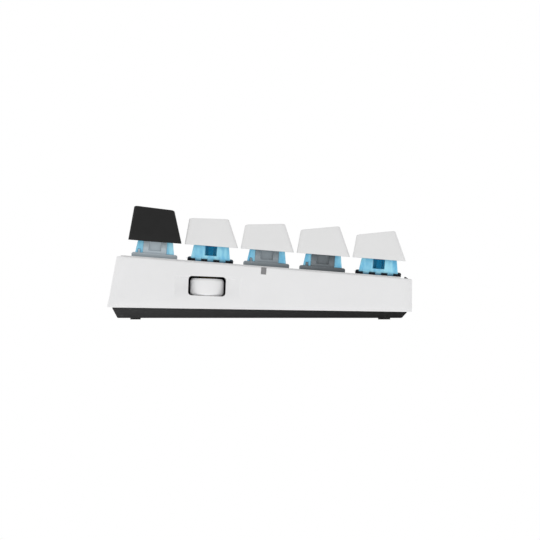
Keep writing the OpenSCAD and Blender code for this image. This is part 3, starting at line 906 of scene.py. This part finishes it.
# ---------------------------------------------------------------- wheel and springs


def rounded_profile(corners, radius, steps=4):
    """A closed outline of (radius, height) with each corner rounded."""
    points = []
    count = len(corners)
    for k in range(count):
        a, b, c = (Vector(corners[(k + d) % count]) for d in (-1, 0, 1))
        cut = min(radius, (a - b).length * 0.45, (c - b).length * 0.45)
        start, end = b + (a - b).normalized() * cut, b + (c - b).normalized() * cut
        for s in range(steps + 1):
            t = s / steps
            points.append(start.lerp(b, t).lerp(b.lerp(end, t), t))
    return [(p.x, p.y) for p in points]


def make_wheel():
    high = local_box("thumb_wheel", WHEEL_INVERSE)[1]
    r, half = high.x, high.z
    bore, hub, rim, web, chamfer = (v * MM for v in (1.0, 2.3, 4.4, 1.4, 0.7))
    middle = [(bore, half), (hub, half), (hub, web)]
    tread = [(rim, web), (rim, half), (r - chamfer, half), (r, half - chamfer)]
    upper = middle + tread
    outline = upper + [(x, -z) for x, z in reversed(upper)]
    bm = bmesh.new()
    lathe(bm, rounded_profile(outline, 0.3 * MM), 160, WHEEL)
    piece = new_piece("wheel_disc", bm, MATERIALS["wheel_white"], 50)
    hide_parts("thumb_wheel")
    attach(piece, "wheel")


def make_springs():
    """A coil spring under each stem."""
    wire, coil = 0.17 * MM, 1.42 * MM
    turns, per_turn, sides = 9, 20, 8
    floor, top = (corner.z for corner in local_box("key_springs"))
    height = top - floor
    flat = 0.08
    for number, key in enumerate(KEYS):
        middle = local_centre("stem_" + key)
        place = DECK @ Matrix.Translation((middle.x, middle.y, floor))
        bm = bmesh.new()
        rings = []
        steps = turns * per_turn
        for k in range(steps + 1):
            share = k / steps
            angle = 2 * math.pi * turns * share
            # the end turns lie flat, as on a ground spring
            eased = min(1.0, max(0.0, (share - flat) / (1 - 2 * flat)))
            z = wire + (height - 2 * wire) * eased
            out = Vector((math.cos(angle), math.sin(angle), 0))
            ring = []
            for s in range(sides):
                a = 2 * math.pi * s / sides
                side = out * (coil + wire * math.cos(a))
                ring.append(place @ (side + Vector((0, 0, z + wire * math.sin(a)))))
            rings.append(ring)
        made = loft(bm, rings)
        close_ends(bm, made)
        piece = new_piece("spring_" + key, bm, MATERIALS["spring_steel"], 60)
        if number == 0:
            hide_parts("key_springs")
        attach(piece, "case")
        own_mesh(piece)


# ---------------------------------------------------------------- CAD nodes that stay


def paint(node, slot_name, width_mm):
    """Gives a CAD node its material and rounds its edges."""
    part = NODES[node]
    part.data.materials.clear()
    part.data.materials.append(MATERIALS[slot_name])
    soften(part, width_mm)


def paint_cad_nodes():
    for node, slot_name, width_mm in (
        ("base_pan", "black_base", 0.25),
        ("switch_plate", "white_plate", 0.12),
        ("circuit_board", "board_green", 0.05),
        ("switch_lower_housings", "switch_black", 0.28),
        ("switch_covers", "cover_blue", 0.1),
        ("switch_lamp_brackets", "bracket_grey", 0.1),
        ("wheel_axle", "axle_steel", 0.1),
        ("wheel_encoder", "encoder_black", 0.15),
        ("wheel_board", "board_green", 0.05),
        ("wheel_ribbon", "ribbon_amber", 0.04),
        ("usb_port", "port_steel", 0.05),
        ("foot_pads", "foot_rubber", 0.25),
        ("case_screws", "screw_steel", 0.15),
        ("status_window", "window_grey", 0.08),
        ("front_trim", "trim_dark", 0.12),
        ("key_leds", "lamp_clear", 0.08),
        ("board_chips", "chip_black", 0.08),
    ):
        paint(node, slot_name, width_mm)
    for key in KEYS:
        paint("stem_" + key, "stem_blue", 0.08)


# ---------------------------------------------------------------- camera, floor and light


# The camera looks level, 1.4 mm under the middle of the deck's top face
DECK_TILT = math.acos((DECK.to_3x3() @ Vector((0, 0, 1))).z)
CAMERA_Z = DECK.translation.length / math.cos(DECK_TILT) - 1.4 * MM
CAMERA_Y = -3.51 * MM
PICTURE_WIDTH = 183.36 * MM


def make_camera():
    """An upright view of the left side, with no perspective."""
    camera = bpy.data.cameras.new("camera")
    camera.type = "ORTHO"
    camera.ortho_scale = PICTURE_WIDTH
    camera.clip_start, camera.clip_end = 0.01, 10
    holder = bpy.data.objects.new("camera", camera)
    holder.location = (-1.0, CAMERA_Y, CAMERA_Z)
    holder.rotation_euler = (math.radians(90), 0, math.radians(-90))
    bpy.context.scene.collection.objects.link(holder)
    bpy.context.scene.camera = holder


# Brightness of the floor's own light, and of the sky overhead, low down and to the front
FLOOR_GLOW = 0.45
SKY_TOP, SKY_LOW = 0.64, 1.04
SKY_FRONT = 0.80


def make_floor():
    """A pale light table."""
    bm = bmesh.new()
    bmesh.ops.create_circle(bm, cap_ends=True, segments=96, radius=2.5)
    n = Nodes("floor_paint")
    n.link(n.mix(n.span(n.noise(0.004, 2.0), 0, 1), (0.84, 0.84, 0.84), (0.86, 0.86, 0.86)),
           n.shader.inputs["Base Color"])
    n.shader.inputs["Roughness"].default_value = 0.9
    n.shader.inputs["Specular IOR Level"].default_value = 0.1
    n.shader.inputs["Emission Color"].default_value = (1, 1, 1, 1)
    n.shader.inputs["Emission Strength"].default_value = FLOOR_GLOW
    floor = new_piece("floor", bm, n.material)


def make_world():
    """Even white studio surroundings."""
    scene = bpy.context.scene
    world = bpy.data.worlds.new("studio")
    world.use_nodes = True
    scene.world = world
    tree = world.node_tree
    background = tree.nodes["Background"]
    background.inputs["Strength"].default_value = 1.0
    place = tree.nodes.new("ShaderNodeTexCoord")
    split = tree.nodes.new("ShaderNodeSeparateXYZ")
    tree.links.new(place.outputs["Generated"], split.inputs[0])
    height = tree.nodes.new("ShaderNodeMapRange")
    height.inputs["To Min"].default_value = SKY_LOW
    height.inputs["To Max"].default_value = SKY_TOP
    tree.links.new(split.outputs["Z"], height.inputs["Value"])
    front = tree.nodes.new("ShaderNodeMapRange")
    front.inputs["From Min"].default_value = -1.0
    front.inputs["From Max"].default_value = -0.15
    front.inputs["To Min"].default_value = SKY_FRONT
    tree.links.new(split.outputs["Y"], front.inputs["Value"])
    both = tree.nodes.new("ShaderNodeMath")
    both.operation = "MULTIPLY"
    tree.links.new(height.outputs["Result"], both.inputs[0])
    tree.links.new(front.outputs["Result"], both.inputs[1])
    grey = tree.nodes.new("ShaderNodeCombineColor")
    for socket in grey.inputs[:3]:
        tree.links.new(both.outputs[0], socket)
    tree.links.new(grey.outputs[0], background.inputs["Color"])
    seen = tree.nodes.new("ShaderNodeBackground")
    seen.inputs["Color"].default_value = (1, 1, 1, 1)
    seen.inputs["Strength"].default_value = 1.0
    path = tree.nodes.new("ShaderNodeLightPath")
    mix = tree.nodes.new("ShaderNodeMixShader")
    tree.links.new(path.outputs["Is Camera Ray"], mix.inputs[0])
    tree.links.new(background.outputs[0], mix.inputs[1])
    tree.links.new(seen.outputs[0], mix.inputs[2])
    tree.links.new(mix.outputs[0], tree.nodes["World Output"].inputs["Surface"])
    scene.view_settings.view_transform = "Standard"
    scene.view_settings.look = "None"


def add_area(name, location, target, size, watts):
    lamp = bpy.data.lights.new(name, "AREA")
    lamp.shape = "RECTANGLE"
    lamp.size, lamp.size_y = size
    lamp.energy = watts
    holder = bpy.data.objects.new(name, lamp)
    holder.location = location
    holder.rotation_mode = "QUATERNION"
    holder.rotation_quaternion = (Vector(target) - Vector(location)).to_track_quat("-Z", "Y")
    bpy.context.scene.collection.objects.link(holder)


def make_lights():
    add_area("overhead", (0.1, 0.1, 0.9), (0, 0, 0), (0.8, 0.8), 1.0)


make_camera()
make_floor()
make_world()
make_lights()
make_case()
make_keycaps()
make_wheel()
make_springs()
paint_cad_nodes()
